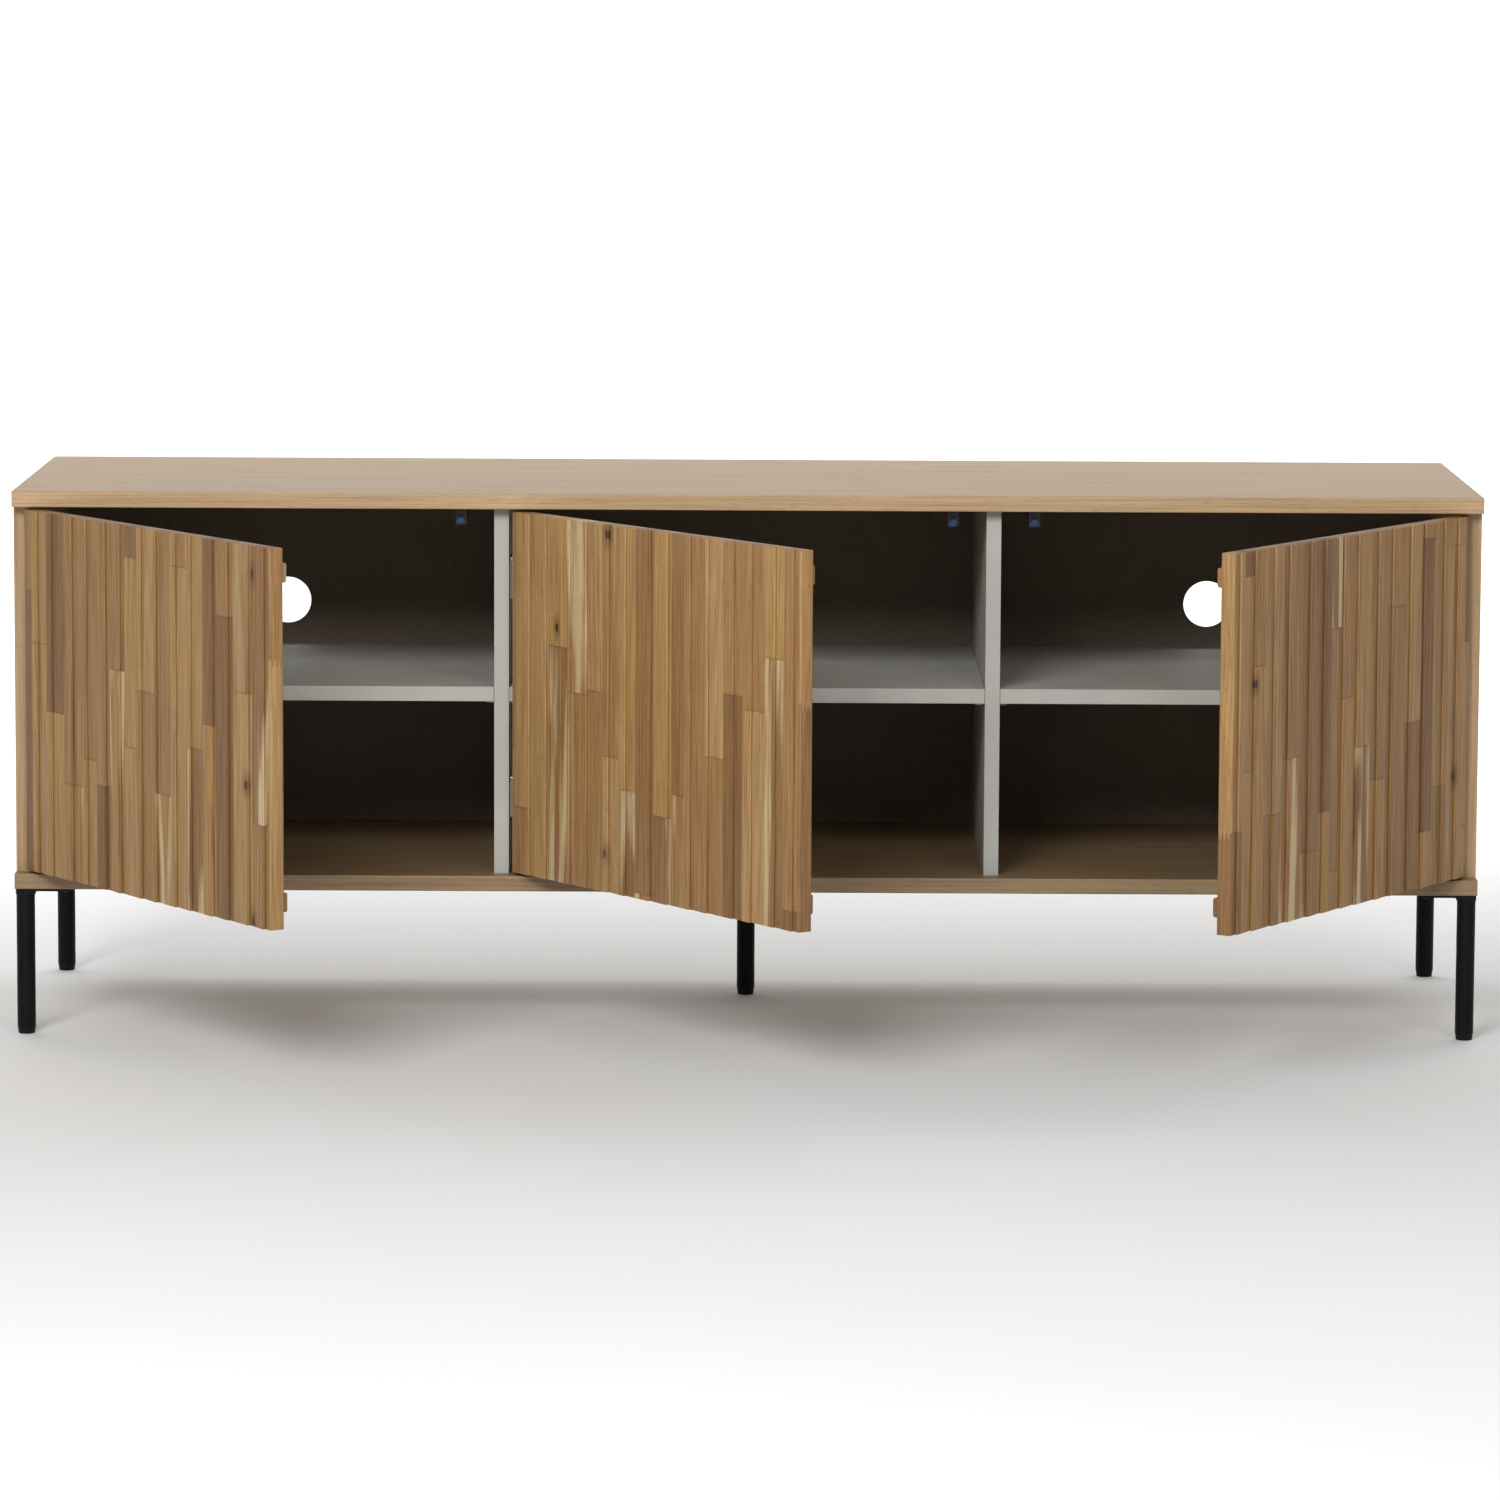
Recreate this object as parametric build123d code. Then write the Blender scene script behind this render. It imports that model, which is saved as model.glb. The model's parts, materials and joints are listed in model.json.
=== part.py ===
"""Low media cabinet: oak top and bottom, two sides, two grey dividers, three shelves, three
hinged doors with a saw-tooth front, push-to-open latches and five steel tube legs.

Millimetres, +Z up, +X to the viewer's right, +Y to the back. The origin is on the floor, below
the middle of the footprint that the cabinet has with its doors part open, as modelled."""

import os
from math import cos, radians, sin

from build123d import *

# Carcass
WIDTH, DEPTH, HEIGHT = 1500.0, 440.0, 560.0
LEG_HEIGHT = 151.0
TOP_THICK = 16.0  # oak top and bottom boards
PANEL_THICK = 15.0  # sides, dividers and shelves
PANEL_FRONT = 20.0  # front edges of the uprights, behind the top's front edge
SIDE_BACK = 437.0
BACK_FRONT, BACK_THICK = 422.0, 5.0
DIVIDER_X = 251.5
SHELF_TOP = 360.0
SHELF_GAP = 0.5
EDGE_ROUND = 1.2
FLOOR_TOP = LEG_HEIGHT + TOP_THICK  # upper face of the bottom board
ROOF = HEIGHT - TOP_THICK  # under face of the top board
SIDE_IN = WIDTH / 2 - PANEL_THICK
DIVIDER_IN = DIVIDER_X - PANEL_THICK / 2
DIVIDER_OUT = DIVIDER_X + PANEL_THICK / 2

# Cable holes in the back, one behind each compartment
HOLE_R = 25.0
HOLE_Z = 407.0

# Doors, in a frame of their own: x from the hinge edge, y back from the closed front face
DOOR_FRONT = 1.0  # closed front face, behind the top's front edge
DOOR_THICK = 18.0
DOOR_GAP = 3.0
DOOR_LOW, DOOR_HIGH = FLOOR_TOP + DOOR_GAP, ROOF - DOOR_GAP
DOOR_END = WIDTH / 2 - DOOR_GAP / 2  # outer edge of an outer door
DOOR_MEET = DIVIDER_X + DOOR_GAP / 2
OUTER_DOOR = DOOR_END - DOOR_MEET
MIDDLE_DOOR = 2 * (DIVIDER_X - DOOR_GAP / 2)
RELIEF = 3.0  # depth of the saw-tooth steps
STRIPS = [30.0, 39.0, 30.0, 43.0]  # strip widths, repeated from the free edge
FREE_STRIP = 11.0
STEP_RUN, STEP_ROUND, END_ROUND = 0.3, 1.0, 2.0  # a step's lean, its proud edge, the door's edges
BATTEN_H, BATTEN_T, BATTEN_ROUND = 19.0, 12.0, 4.0
BATTEN_START, BATTEN_INSET = 45.0, 12.0  # from the hinge edge and from the free edge
BATTEN_TOP = DOOR_HIGH - 16.0
BATTEN_BOTTOM = DOOR_LOW + 15.0

# Concealed hinges: arm pin A, cup pin B, and how far the link turns for a turn of the door
PIN_A = (44.0, 40.0)
PIN_B = (14.0, 14.5)
LINK_RATIO = 0.45
HINGE_Z = [DOOR_LOW + 72.0, DOOR_HIGH - 72.0]
CUP_X, CUP_R, CUP_WALL, CUP_BED = 20.5, 17.5, 1.0, 8.0
PIN_R, PIN_CLEAR = 1.5, 0.05
LINK_R, LINK_HALF = 2.8, 3.0

# Push latches
LATCH_INSET = 40.0  # from the door's free edge
LATCH_Z = 531.0
LATCH_FRONT = 25.0
LATCH_LENGTH = 62.0
PLUNGER_R, PLUNGER_TIP = 3.5, 20.5
STRIKE_THICK = 1.0

# Legs
LEG_R, LEG_WALL = 9.5, 1.5
LEG_PLATE, LEG_PLATE_T = 60.0, 2.5
LEG_X, LEG_FRONT, LEG_BACK = 740.0, 12.0, 428.0
LEG_MIDDLE = (0.0, 285.0)
GLIDE_H, PLUG = 7.0, 10.0  # the glide's visible height, and its plug up the tube

DOORS = {
    "left": {"edge": -DOOR_END, "hand": 1, "width": OUTER_DOOR, "open": 55.7},
    "middle": {"edge": -MIDDLE_DOOR / 2, "hand": 1, "width": MIDDLE_DOOR, "open": 54.3},
    "right": {"edge": DOOR_END, "hand": -1, "width": OUTER_DOOR, "open": 56.9},
}
PANEL_FACE = {"left": DOOR_END - SIDE_IN, "right": DOOR_END - SIDE_IN}
PANEL_FACE["middle"] = MIDDLE_DOOR / 2 - DIVIDER_IN


def box(low, high):
    """A box between two corners."""
    size = [b - a for a, b in zip(low, high)]
    middle = [(a + b) / 2 for a, b in zip(low, high)]
    return Pos(*middle) * Box(*size)


def rod(point, radius, length, axis="z"):
    """A round bar that starts at a point and runs along +x, +y or +z."""
    turn = {"x": Rot(0, 90, 0), "y": Rot(-90, 0, 0), "z": Rot(0, 0, 0)}[axis]
    centred = (Align.CENTER, Align.CENTER, Align.MIN)
    return Pos(*point) * turn * Cylinder(radius, length, align=centred)


def turned(point, pivot, degrees):
    """A point turned clockwise, seen from above, about a pivot."""
    c, s = cos(radians(degrees)), sin(radians(degrees))
    x, y = point[0] - pivot[0], point[1] - pivot[1]
    return (pivot[0] + c * x + s * y, pivot[1] - s * x + c * y)


def link_pin(door_angle):
    """Where the cup pin B is when the door is open by an angle."""
    return turned(PIN_B, PIN_A, -LINK_RATIO * door_angle)


def door_corner(door_angle):
    """Where the door's front hinge corner is when the door is open by an angle."""
    pin = link_pin(door_angle)
    closed = (pin[0] - PIN_B[0], pin[1] - PIN_B[1])
    return turned(closed, pin, door_angle)


def put(shape, door, shift=0.0):
    """Moves a shape from a hinge's own frame to the cabinet, mirrored for a right-hand door."""
    info = DOORS[door]
    if info["hand"] < 0:
        shape = mirror(shape, about=Plane.YZ)
    return Pos(info["edge"], DOOR_FRONT + shift, 0) * shape


def put_open(shape, door):
    """Moves a shape that belongs to a door to the door's modelled, part open place."""
    angle = DOORS[door]["open"]
    x, y = door_corner(angle)
    return put(Pos(x, y, 0) * Rot(0, 0, -angle) * shape, door)


def body_x(door, offset):
    """Cabinet x of a point that is an offset in from a door's free edge."""
    info = DOORS[door]
    return info["edge"] + info["hand"] * (info["width"] - offset)


# ---------------------------------------------------------------- carcass
def board(low, high):
    """An oak board with eased long edges."""
    whole = box(low, high)
    return fillet(whole.edges().filter_by(Axis.X), EDGE_ROUND)


def carcass():
    """Boards, panels, shelves and back."""
    half = WIDTH / 2
    parts = {
        "top_board": board((-half, 0, ROOF), (half, DEPTH, HEIGHT)),
        "bottom_board": board((-half, 0, LEG_HEIGHT), (half, DEPTH, FLOOR_TOP)),
    }
    for name, sign in (("left", -1), ("right", 1)):
        xs = sorted((sign * SIDE_IN, sign * half))
        side = box((xs[0], PANEL_FRONT, FLOOR_TOP), (xs[1], SIDE_BACK, ROOF))
        parts["side_panel_" + name] = side
        xs = sorted((sign * DIVIDER_IN, sign * DIVIDER_OUT))
        upright = box((xs[0], PANEL_FRONT, FLOOR_TOP), (xs[1], BACK_FRONT, ROOF))
        parts["divider_" + name] = upright
    bays = {
        "left": (-SIDE_IN, -DIVIDER_OUT),
        "middle": (-DIVIDER_IN, DIVIDER_IN),
        "right": (DIVIDER_OUT, SIDE_IN),
    }
    for name, (x0, x1) in bays.items():
        parts["shelf_" + name] = box(
            (x0 + SHELF_GAP, PANEL_FRONT, SHELF_TOP - PANEL_THICK),
            (x1 - SHELF_GAP, BACK_FRONT, SHELF_TOP),
        )
    seams = [-SIDE_IN, -DIVIDER_X, DIVIDER_X, SIDE_IN]
    for i, (name, (x0, x1)) in enumerate(bays.items()):
        sheet = box(
            (seams[i], BACK_FRONT, FLOOR_TOP),
            (seams[i + 1], BACK_FRONT + BACK_THICK, ROOF),
        )
        hole = rod(((x0 + x1) / 2, BACK_FRONT - 1, HOLE_Z), HOLE_R, BACK_THICK + 2, "y")
        parts["back_panel_" + name] = sheet - hole
    return parts


PEG_R, PEG_DEEP, PEG_HEAD = 2.5, 6.0, 9.0
PEG_FRONT, PEG_BACK = PANEL_FRONT + 32.0, BACK_FRONT - 50.0


def shelf_pegs():
    """Clear pegs under the shelves: a pin in the panel and a flat pad that the shelf lies on."""
    pegs, holes = [], {}
    low = SHELF_TOP - PANEL_THICK
    faces = [
        (-SIDE_IN, 1, "side_panel_left"),
        (-DIVIDER_OUT, -1, "divider_left"),
        (-DIVIDER_IN, 1, "divider_left"),
        (DIVIDER_IN, -1, "divider_right"),
        (DIVIDER_OUT, 1, "divider_right"),
        (SIDE_IN, -1, "side_panel_right"),
    ]
    for x, sign, panel in faces:
        for y in (PEG_FRONT, PEG_BACK):
            start = min(x, x - sign * PEG_DEEP)
            pin = rod((start, y, low - PEG_R), PEG_R, PEG_DEEP, "x")
            xs = sorted((x, x + sign * PEG_HEAD))
            pad = box((xs[0], y - PEG_R, low - 2 * PEG_R), (xs[1], y + PEG_R, low))
            pegs.append(pin + pad)
            holes.setdefault(panel, []).append(pin)
    return pegs, holes


DOWEL_R, DOWEL_DEEP = 4.0, 11.0
DOWEL_FRONT, DOWEL_BACK = PANEL_FRONT + 45.0, BACK_FRONT - 55.0
CAM_R, CAM_DEEP, CAM_OFFSET = 7.5, 11.0, 24.0
CAM_BEHIND = 32.0  # from a dowel to the cam behind it
BOLT_R, BOLT_GRIP = 3.0, 3.0  # the bolt's head sits this far inside the cam
SOCKET_R, SOCKET_DEEP = 2.2, 1.5


def panel_fittings():
    """Wooden dowels and cam fittings between the uprights and the two boards."""
    dowels, cams, bolts, cuts = [], [], [], {}
    uprights = [
        ("side_panel_left", -SIDE_IN, -1),
        ("divider_left", -DIVIDER_OUT, 1),
        ("divider_right", DIVIDER_OUT, -1),
        ("side_panel_right", SIDE_IN, 1),
    ]
    for panel, face, inward in uprights:
        middle = face + inward * PANEL_THICK / 2
        for plane, up, board_name in ((FLOOR_TOP, 1, "bottom_board"), (ROOF, -1, "top_board")):
            for y in (DOWEL_FRONT, DOWEL_BACK):
                dowel = rod((middle, y, plane - DOWEL_DEEP), DOWEL_R, 2 * DOWEL_DEEP)
                dowels.append(dowel)
                cuts.setdefault(panel, []).append(dowel)
                cuts.setdefault(board_name, []).append(dowel)
                y_cam = y + CAM_BEHIND
                z_cam = plane + up * CAM_OFFSET
                start = min(face, face + inward * CAM_DEEP)
                cam = rod((start, y_cam, z_cam), CAM_R, CAM_DEEP, "x")
                near = plane - up * DOWEL_DEEP
                far = z_cam - up * (CAM_R - BOLT_GRIP)
                bolt = rod((middle, y_cam, min(near, far)), BOLT_R, abs(far - near))
                socket = rod((face - SOCKET_DEEP, y_cam, z_cam), SOCKET_R, 2 * SOCKET_DEEP, "x")
                cams.append(cam - socket - bolt)
                bolts.append(bolt)
                cuts.setdefault(panel, []).extend([cam, bolt])
                cuts.setdefault(board_name, []).append(bolt)
    return dowels, cams, bolts, cuts


BACK_SCREW_R, BACK_SCREW_DEEP = 1.5, 12.0
BACK_HEAD_R, BACK_HEAD_H, BACK_HEAD_CHAMFER = 3.0, 1.8, 0.6
BACK_SCREW_ASIDE = 4.0  # from the middle of the divider, one screw for each panel
BACK_SCREW_Z = [FLOOR_TOP + 30.0, SHELF_TOP - 70.0, SHELF_TOP + 90.0, ROOF - 30.0]


def back_screws():
    """Small pan-head screws that hold the back panels to the dividers' rear edges."""
    screws, holes = [], []
    for x in (-DIVIDER_X, DIVIDER_X):
        for dx in (-BACK_SCREW_ASIDE, BACK_SCREW_ASIDE):
            for z in BACK_SCREW_Z:
                point = (x + dx, BACK_FRONT - BACK_SCREW_DEEP, z)
                shank = rod(point, BACK_SCREW_R, BACK_SCREW_DEEP + BACK_THICK, "y")
                seat = (x + dx, BACK_FRONT + BACK_THICK, z)
                head = rod(seat, BACK_HEAD_R, BACK_HEAD_H, "y")
                head = chamfer(head.edges().sort_by(Axis.Y)[-1], BACK_HEAD_CHAMFER)
                screws.append(shank + head)
                holes.append(shank)
    return screws, holes


# ---------------------------------------------------------------- legs
PLATE_SCREW = 21.0  # from the plate's middle to its screws, both ways
LEG_PLATE_ROUND = 4.0
WELD_H, WELD_OUT = 5.0, 2.5  # the fillet weld between plate and tube
LEG_SCREW_R, LEG_SCREW_DEEP = 1.9, 11.0
LEG_HEAD_R, LEG_HEAD_H, LEG_HEAD_ROUND = 3.8, 2.2, 1.2
SCREW_CLEAR = 5.0  # no screw stands closer to the tube than this
GLIDE_FOOT, GLIDE_NECK, GLIDE_ROUND = LEG_R - 1.2, LEG_R - 0.2, 0.8


def leg(x, y, to_x, to_y):
    """A tube leg with a welded plate that runs in from the corner, its glide and four screws."""
    top = LEG_HEIGHT - LEG_PLATE_T
    tube = rod((x, y, GLIDE_H), LEG_R, top - GLIDE_H)
    tube -= rod((x, y, GLIDE_H - 1), LEG_R - LEG_WALL, top)
    reach = LEG_PLATE / 2 - LEG_R
    cx, cy = x + to_x * reach, y + to_y * reach
    half = LEG_PLATE / 2
    plate = box((cx - half, cy - half, top), (cx + half, cy + half, LEG_HEIGHT))
    plate = fillet(plate.edges().filter_by(Axis.Z), LEG_PLATE_ROUND)
    weld = Pos(x, y, top - WELD_H / 2) * Cone(LEG_R, LEG_R + WELD_OUT, WELD_H)
    weld -= rod((x, y, top - 2 * WELD_H), LEG_R, 3 * WELD_H)
    weld &= box((cx - half, cy - half, top - 2 * WELD_H), (cx + half, cy + half, top))
    screws = []
    for dx in (-PLATE_SCREW, PLATE_SCREW):
        for dy in (-PLATE_SCREW, PLATE_SCREW):
            sx, sy = cx + dx, cy + dy
            if max(abs(sx - x), abs(sy - y)) < LEG_R + SCREW_CLEAR:
                continue
            head = rod((sx, sy, top - LEG_HEAD_H), LEG_HEAD_R, LEG_HEAD_H)
            head = fillet(head.edges().sort_by(Axis.Z)[0], LEG_HEAD_ROUND)
            screws.append(rod((sx, sy, top), LEG_SCREW_R, LEG_PLATE_T + LEG_SCREW_DEEP) + head)
    for screw in screws:
        plate -= screw
    glide = Pos(x, y, GLIDE_H / 2) * Cone(GLIDE_FOOT, GLIDE_NECK, GLIDE_H)
    glide = fillet(glide.edges().sort_by(Axis.Z)[0], GLIDE_ROUND)
    foot = glide + rod((x, y, GLIDE_H), LEG_R - LEG_WALL, PLUG)
    return tube + plate + weld, foot, screws


def legs():
    """Four corner legs and a middle one."""
    places = {
        "front_left": (-LEG_X, LEG_FRONT, 1, 1),
        "front_right": (LEG_X, LEG_FRONT, -1, 1),
        "rear_left": (-LEG_X, LEG_BACK, 1, -1),
        "rear_right": (LEG_X, LEG_BACK, -1, -1),
        "middle": (*LEG_MIDDLE, 0, 0),
    }
    parts, feet, screws = {}, [], []
    for name, place in places.items():
        steel, foot, fixings = leg(*place)
        parts["leg_" + name] = steel
        feet.append(foot)
        screws.extend(fixings)
    return parts, feet, screws


# ---------------------------------------------------------------- doors
NEAR = 0.01  # how close a corner has to be to a face to be on it


def relief_points(width):
    """The door's front outline, strip by strip from the hinge edge to the free edge."""
    steps, x, i = [], width - FREE_STRIP, 0
    while x > 0:
        steps.append(x)
        x -= STRIPS[i % len(STRIPS)]
        i += 1
    steps = sorted(steps)
    points = [(0.0, RELIEF * 0.8)]
    for x in steps:
        points += [(x, 0.0), (x + STEP_RUN, RELIEF)]
    points.append((width, RELIEF * (1 - FREE_STRIP / STRIPS[-1])))
    return points


def door_panel(width):
    """A solid oak door with a saw-tooth front and pockets for the hinge cups."""
    outline = relief_points(width) + [(width, DOOR_THICK), (0.0, DOOR_THICK)]
    face = make_face(Polyline(*outline, close=True).edges())
    proud = [v for v in face.vertices() if v.Y < NEAR and v.X > STEP_ROUND]
    face = fillet(proud, STEP_ROUND)
    ends = [v for v in face.vertices() if v.X < NEAR or v.X > width - NEAR]
    face = fillet(ends, END_ROUND)
    panel = Pos(0, 0, DOOR_LOW) * extrude(face, DOOR_HIGH - DOOR_LOW, dir=(0, 0, 1))
    for z in HINGE_Z:
        panel -= rod((CUP_X, CUP_BED, z), CUP_R, DOOR_THICK, "y")
    return panel


def batten(width, low):
    """A rounded oak batten across a door's back."""
    start, end = BATTEN_START, width - BATTEN_INSET
    bar = box((start, DOOR_THICK, low), (end, DOOR_THICK + BATTEN_T, low + BATTEN_H))
    back = bar.faces().sort_by(Axis.Y)[-1]
    return fillet(back.edges(), BATTEN_ROUND)


WING_X, WING_Z, WING_T, WING_ROUND = (15.0, 33.0), 27.0, 1.2, 5.0


def hinge_cup(z):
    """A pressed cup in the door with its wings and the pin that the link turns on."""
    cup = rod((CUP_X, CUP_BED, z), CUP_R, DOOR_THICK - CUP_BED, "y")
    wing = box(
        (WING_X[0], DOOR_THICK, z - WING_Z), (WING_X[1], DOOR_THICK + WING_T, z + WING_Z)
    )
    wing = fillet(wing.edges().filter_by(Axis.Y), WING_ROUND)
    cup += wing
    hollow = CUP_R - CUP_WALL
    cup -= rod((CUP_X, CUP_BED + CUP_WALL, z), hollow, DOOR_THICK, "y")
    half = (hollow**2 - (CUP_X - PIN_B[0]) ** 2) ** 0.5 + CUP_WALL / 5
    pin = rod((*PIN_B, z - half), PIN_R, 2 * half)
    return cup + pin


SCREW_R, SCREW_HEAD, SCREW_HEAD_H, SCREW_ROUND = 1.6, 3.4, 1.6, 1.0
DOOR_SCREW_DEEP = 9.0
WING_SCREW, BATTEN_SCREW = 22.5, 35.0  # from the cup's middle, and from a batten's end


def door_screws(width):
    """Screws through the cup wings and the battens, as heads and shanks in the door's frame."""
    screws, holes = [], []
    spots = []
    for z in HINGE_Z:
        spots += [((WING_X[0] + WING_X[1]) / 2, z + dz, WING_T) for dz in (-WING_SCREW, WING_SCREW)]
    for low in (BATTEN_BOTTOM, BATTEN_TOP - BATTEN_H):
        last = width - BATTEN_INSET - BATTEN_SCREW
        xs = [BATTEN_START + BATTEN_SCREW, width / 2, last]
        spots += [(x, low + BATTEN_H / 2, BATTEN_T) for x in xs]
    for x, z, lift in spots:
        start = DOOR_THICK - DOOR_SCREW_DEEP
        shank = rod((x, start, z), SCREW_R, DOOR_SCREW_DEEP + lift, "y")
        head = rod((x, DOOR_THICK + lift, z), SCREW_HEAD, SCREW_HEAD_H, "y")
        head = fillet(head.edges().sort_by(Axis.Y)[-1], SCREW_ROUND)
        screws.append(shank + head)
        holes.append(shank)
    return screws, holes


STRIKE_R, STRIKE_BELOW = 7.0, 1.5  # the disc, and the wood left above it
STRIKE_PIN_R, STRIKE_PIN_DEEP = 1.5, 5.0


def strike_plate(width):
    """The steel disc that the latch's magnet holds."""
    point = (width - LATCH_INSET, DOOR_THICK, DOOR_HIGH - STRIKE_R - STRIKE_BELOW)
    disc = rod(point, STRIKE_R, STRIKE_THICK, "y")
    start = (point[0], DOOR_THICK - STRIKE_PIN_DEEP, point[2])
    pin = rod(start, STRIKE_PIN_R, STRIKE_PIN_DEEP, "y")
    return disc + pin, pin


LINK_BEND = ((3.0, 5.5), (11.0, 7.0))  # the hook's corners: along the link from pin B, and aside


def links(door):
    """Both hinges' links, hooked so that they pass the cup's rim, at the modelled opening."""
    angle = DOORS[door]["open"]
    run = (PIN_A[0] - PIN_B[0], PIN_A[1] - PIN_B[1])
    length = (run[0] ** 2 + run[1] ** 2) ** 0.5
    along = (run[0] / length, run[1] / length)
    aside = (along[1], -along[0])
    bend = [
        (PIN_B[0] + a * along[0] + b * aside[0], PIN_B[1] + a * along[1] + b * aside[1])
        for a, b in LINK_BEND
    ]
    route = [PIN_B, *bend, PIN_A]
    out = []
    for z in HINGE_Z:
        low = z - LINK_HALF
        solid = None
        for (x0, y0), (x1, y1) in zip(route, route[1:]):
            run_x, run_y = x1 - x0, y1 - y0
            size = (run_x**2 + run_y**2) ** 0.5
            nx, ny = -run_y / size * LINK_R, run_x / size * LINK_R
            corners = [(x0 + nx, y0 + ny), (x1 + nx, y1 + ny), (x1 - nx, y1 - ny)]
            corners.append((x0 - nx, y0 - ny))
            face = make_face(Polyline(*corners, close=True).edges())
            bar = Pos(0, 0, low) * extrude(face, 2 * LINK_HALF, dir=(0, 0, 1))
            bar += rod((x0, y0, low), LINK_R, 2 * LINK_HALF)
            solid = bar if solid is None else solid + bar
        solid += rod((*PIN_A, low), LINK_R, 2 * LINK_HALF)
        for pin in (PIN_A, PIN_B):
            solid -= rod((*pin, low - 1), PIN_R + PIN_CLEAR, 2 * LINK_HALF + 2)
        out.append(put(solid.rotate(Axis((*PIN_A, 0), (0, 0, 1)), LINK_RATIO * angle), door))
    return out


PLATE_T, PLATE_Y, PLATE_Z, PLATE_ROUND = 3.0, (46.0, 68.0), 24.0, 5.0
PLATE_SCREW_Z, PLATE_SCREW_DEEP = 16.0, 10.0
ARM_FRONT, ARM_BACK, ARM_HALF = 44.0, 96.0, 6.5
ARM_WEB, CHEEK_T, PIN_HEAD = 2.0, 1.8, 1.0
NOSE, NOSE_BACK = 4.0, 5.0  # the cheeks' metal in front of pin A, and behind it
HUMP, HUMP_Y, TAIL = 12.0, 72.0, 10.0  # the cheeks' height over the plate, and at the back end


def hinge_on_panel(door):
    """The mounting plates, arms and plate screws of one door's two hinges."""
    face = PANEL_FACE[door]
    plates, arms, screws = [], [], []
    for z in HINGE_Z:
        plate = box((face, PLATE_Y[0], z - PLATE_Z), (face + PLATE_T, PLATE_Y[1], z + PLATE_Z))
        plate = fillet(plate.edges().filter_by(Axis.X), PLATE_ROUND)
        middle = sum(PLATE_Y) / 2
        for dz in (-PLATE_SCREW_Z, PLATE_SCREW_Z):
            start = (face - PLATE_SCREW_DEEP, middle, z + dz)
            shank = rod(start, SCREW_R, PLATE_SCREW_DEEP + PLATE_T, "x")
            head = rod((face + PLATE_T, middle, z + dz), SCREW_HEAD, SCREW_HEAD_H, "x")
            head = fillet(head.edges().sort_by(Axis.X)[-1], SCREW_ROUND)
            plate -= shank
            screws.append(put(shank + head, door))
        base = face + PLATE_T
        web = box((base, ARM_FRONT, z - ARM_HALF), (base + ARM_WEB, ARM_BACK, z + ARM_HALF))
        outline = [
            (base, ARM_FRONT),
            (PIN_A[0] - NOSE, PIN_A[1] - NOSE),
            (PIN_A[0] + NOSE, PIN_A[1] - NOSE),
            (PIN_A[0] + NOSE, PIN_A[1] + NOSE_BACK),
            (base + HUMP, HUMP_Y),
            (base + TAIL, ARM_BACK),
            (base, ARM_BACK),
        ]
        side = make_face(Polyline(*outline, close=True).edges())
        arm = web
        for low in (z - ARM_HALF, z + ARM_HALF - CHEEK_T):
            arm += Pos(0, 0, low) * extrude(side, CHEEK_T, dir=(0, 0, 1))
        arm += rod((*PIN_A, z - ARM_HALF - PIN_HEAD), PIN_R, 2 * (ARM_HALF + PIN_HEAD))
        arms.append(put(arm, door))
        plates.append(put(plate, door))
    return plates, arms, screws


# ---------------------------------------------------------------- push latches
LATCH_HALF, LATCH_BORE, LATCH_ROUND = 5.6, 3.8, 3.0
LATCH_LOW = LATCH_Z - 5.1
BORE_STOP = 6.0  # solid plastic behind the bore
FLANGE_X, FLANGE_T, FLANGE_ROUND = 13.0, 2.5, 4.0
FLANGE_Y = (LATCH_FRONT + 20.0, LATCH_FRONT + 45.0)
LATCH_SCREW_X, LATCH_SCREW_LONG = 9.0, 13.0
LATCH_HEAD_R, LATCH_HEAD_ROUND = 2.6, 0.9
MAGNET_R, MAGNET_LONG, MAGNET_PROUD = PLUNGER_R - 0.6, 3.0, 0.6
STEM_LONG, STEM_SOLID, STEM_WALL = 34.0, 15.4, 1.2


def latch(door):
    """Latch body with its flange and bore, the sprung plunger, its magnet and the two screws."""
    x = body_x(door, LATCH_INSET)
    back = LATCH_FRONT + LATCH_LENGTH
    body = box((x - LATCH_HALF, LATCH_FRONT, LATCH_LOW), (x + LATCH_HALF, back, ROOF))
    body = fillet(body.edges().filter_by(Axis.Y).sort_by(Axis.Z)[:2], LATCH_ROUND)
    seat = ROOF - FLANGE_T
    flange = box((x - FLANGE_X, FLANGE_Y[0], seat), (x + FLANGE_X, FLANGE_Y[1], ROOF))
    body += fillet(flange.edges().filter_by(Axis.Z), FLANGE_ROUND)
    body -= rod((x, LATCH_FRONT, LATCH_Z), LATCH_BORE, LATCH_LENGTH - BORE_STOP, "y")
    screws = []
    for dx in (-LATCH_SCREW_X, LATCH_SCREW_X):
        y = sum(FLANGE_Y) / 2
        shank = rod((x + dx, y, seat), SCREW_R, LATCH_SCREW_LONG)
        head = rod((x + dx, y, seat - SCREW_HEAD_H), LATCH_HEAD_R, SCREW_HEAD_H)
        head = fillet(head.edges().sort_by(Axis.Z)[0], LATCH_HEAD_ROUND)
        body -= shank
        screws.append(shank + head)
    magnet = rod((x, PLUNGER_TIP, LATCH_Z), MAGNET_R, MAGNET_LONG, "y")
    start = PLUNGER_TIP + MAGNET_PROUD
    stem = rod((x, start, LATCH_Z), PLUNGER_R, STEM_LONG, "y") - magnet
    stem -= rod((x, start + STEM_SOLID, LATCH_Z), PLUNGER_R - STEM_WALL, STEM_LONG, "y")
    return body, stem, magnet, screws


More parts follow.
